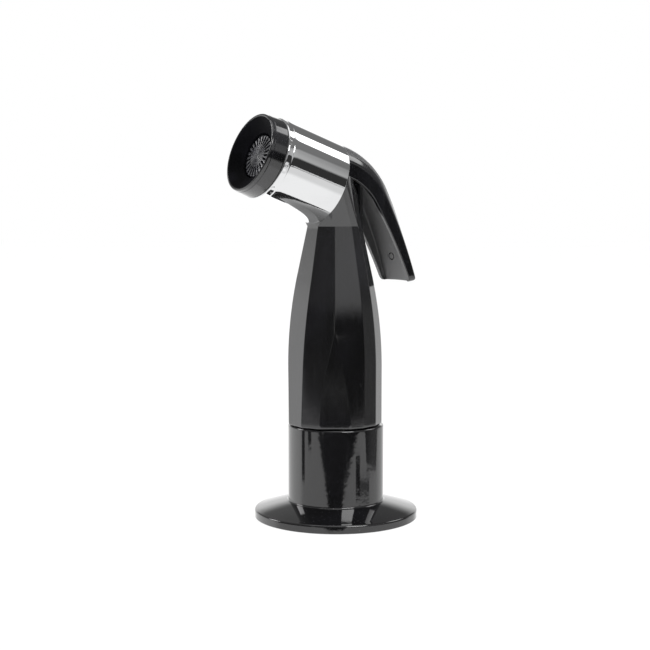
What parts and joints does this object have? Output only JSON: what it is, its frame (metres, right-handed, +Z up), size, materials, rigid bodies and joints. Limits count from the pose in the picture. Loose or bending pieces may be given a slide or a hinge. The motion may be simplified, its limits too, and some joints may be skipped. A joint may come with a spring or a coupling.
{
  "type": "sink hand spray",
  "caption": "Hand spray with a squeeze lever, chrome sleeve and black faceted handle, standing in a round black deck hose guide.",
  "frame": {"origin": "centre of the flange's underside, where the hose guide meets the deck", "axes": "+Z up along the shank and cup, the spray face looks towards -Y and tilts up, the lever lies on the +Y side; symmetric about x = 0"},
  "size_m": [0.0542, 0.0638, 0.1741],
  "materials": {
    "polished_chrome": "polished chrome plating",
    "black_plastic": "gloss black moulded plastic",
    "lever_plastic": "gloss black moulded plastic",
    "nozzle_plastic": "satin black moulded plastic",
    "disc_plastic": "satin black moulded plastic",
    "black_rubber": "matt black rubber",
    "washer_nylon": "natural nylon",
    "guide_plastic": "gloss black moulded plastic",
    "nut_plastic": "satin black moulded plastic",
    "coupling_brass": "machined brass",
    "spring_steel": "drawn stainless steel"
  },
  "bodies": {
    "deck_holder": {"hose_guide": "guide_plastic", "deck_gasket": "black_rubber", "friction_washer": "washer_nylon", "mounting_nut": "nut_plastic"},
    "hose_end": {"snap_ring": "spring_steel", "hose_washer": "black_rubber"},
    "spray_head": {"handle_body": "black_plastic", "hose_coupling": "coupling_brass", "coupling_o_ring": "black_rubber", "inlet_screen": "spring_steel", "valve_seat": "coupling_brass", "bonnet_nut": "coupling_brass", "stem_o_ring": "black_rubber", "valve_spring": "spring_steel", "chrome_sleeve": "polished_chrome", "nozzle_ring": "nozzle_plastic", "nozzle_gasket": "black_rubber", "flow_plate": "washer_nylon", "spray_disc": "disc_plastic", "lever_pin": "spring_steel"},
    "squeeze_lever": {"lever": "lever_plastic"},
    "valve_poppet": {"valve_stem": "coupling_brass", "valve_washer": "black_rubber", "washer_cup": "coupling_brass"}
  },
  "joints": [
    {"name": "head_lift", "type": "slide", "parent": "deck_holder", "child": "hose_end", "axis": [0, 0, 1], "range_m": [0, 0.06]},
    {"name": "head_turn", "type": "hinge", "parent": "hose_end", "child": "spray_head", "pos_m": [0, 0, 0], "axis": [0, 0, 1], "continuous": true},
    {"name": "lever_squeeze", "type": "hinge", "parent": "spray_head", "child": "squeeze_lever", "pos_m": [0, 0.0003, 0.1152], "axis": [-1, 0, 0], "range_deg": [0, 14]},
    {"name": "valve_travel", "type": "slide", "parent": "spray_head", "child": "valve_poppet", "axis": [0, 0, -1], "range_m": [0, 0.0012], "stiffness_N_per_m": 50, "springref_m": -0.004, "deforming": ["valve_spring"]}
  ],
  "couplings": [
    {"joint": "lever_squeeze", "follows": "valve_travel", "rad_per_m": 203.6}
  ]
}
